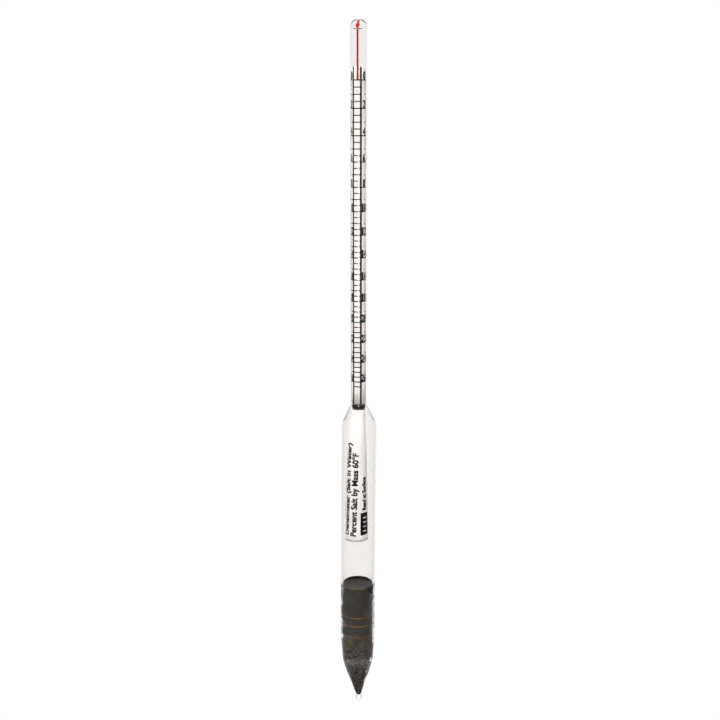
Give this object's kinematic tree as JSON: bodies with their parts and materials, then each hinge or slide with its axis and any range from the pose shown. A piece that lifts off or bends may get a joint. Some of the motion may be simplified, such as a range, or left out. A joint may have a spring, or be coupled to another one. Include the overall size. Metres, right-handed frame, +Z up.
{
  "type": "hydrometer",
  "caption": "Glass hydrometer for brine: a slim stem with a rolled percent scale on a wider float with a weighted, tapered nose.",
  "frame": {"origin": "lowest point of the glass tip, on the axis", "axes": "+Z up along the stem, the scale and the legend are read from -Y, +X to the reader's right"},
  "size_m": [0.0158, 0.0158, 0.305],
  "materials": {
    "glass": "clear drawn glass, fire-polished",
    "scale_paper": "smooth white paper with black print",
    "legend_paper": "smooth off-white paper with black print",
    "neck_cement": "black cement, slightly lumpy",
    "red_enamel": "fired red enamel",
    "dark_enamel": "fired dark brown enamel",
    "shot": "fine shot set in brown binder",
    "wax": "dark sealing wax with brown pour lines"
  },
  "bodies": {
    "root": {"stem_tube": "glass", "body_tube": "glass", "scale_roll": "scale_paper", "legend_roll": "legend_paper", "neck_band": "neck_cement", "datum_line": "red_enamel", "datum_tick": "dark_enamel", "datum_bead": "red_enamel", "ballast_shot": "shot", "wax_lower": "wax", "wax_middle": "wax", "wax_upper": "wax"}
  },
  "joints": []
}
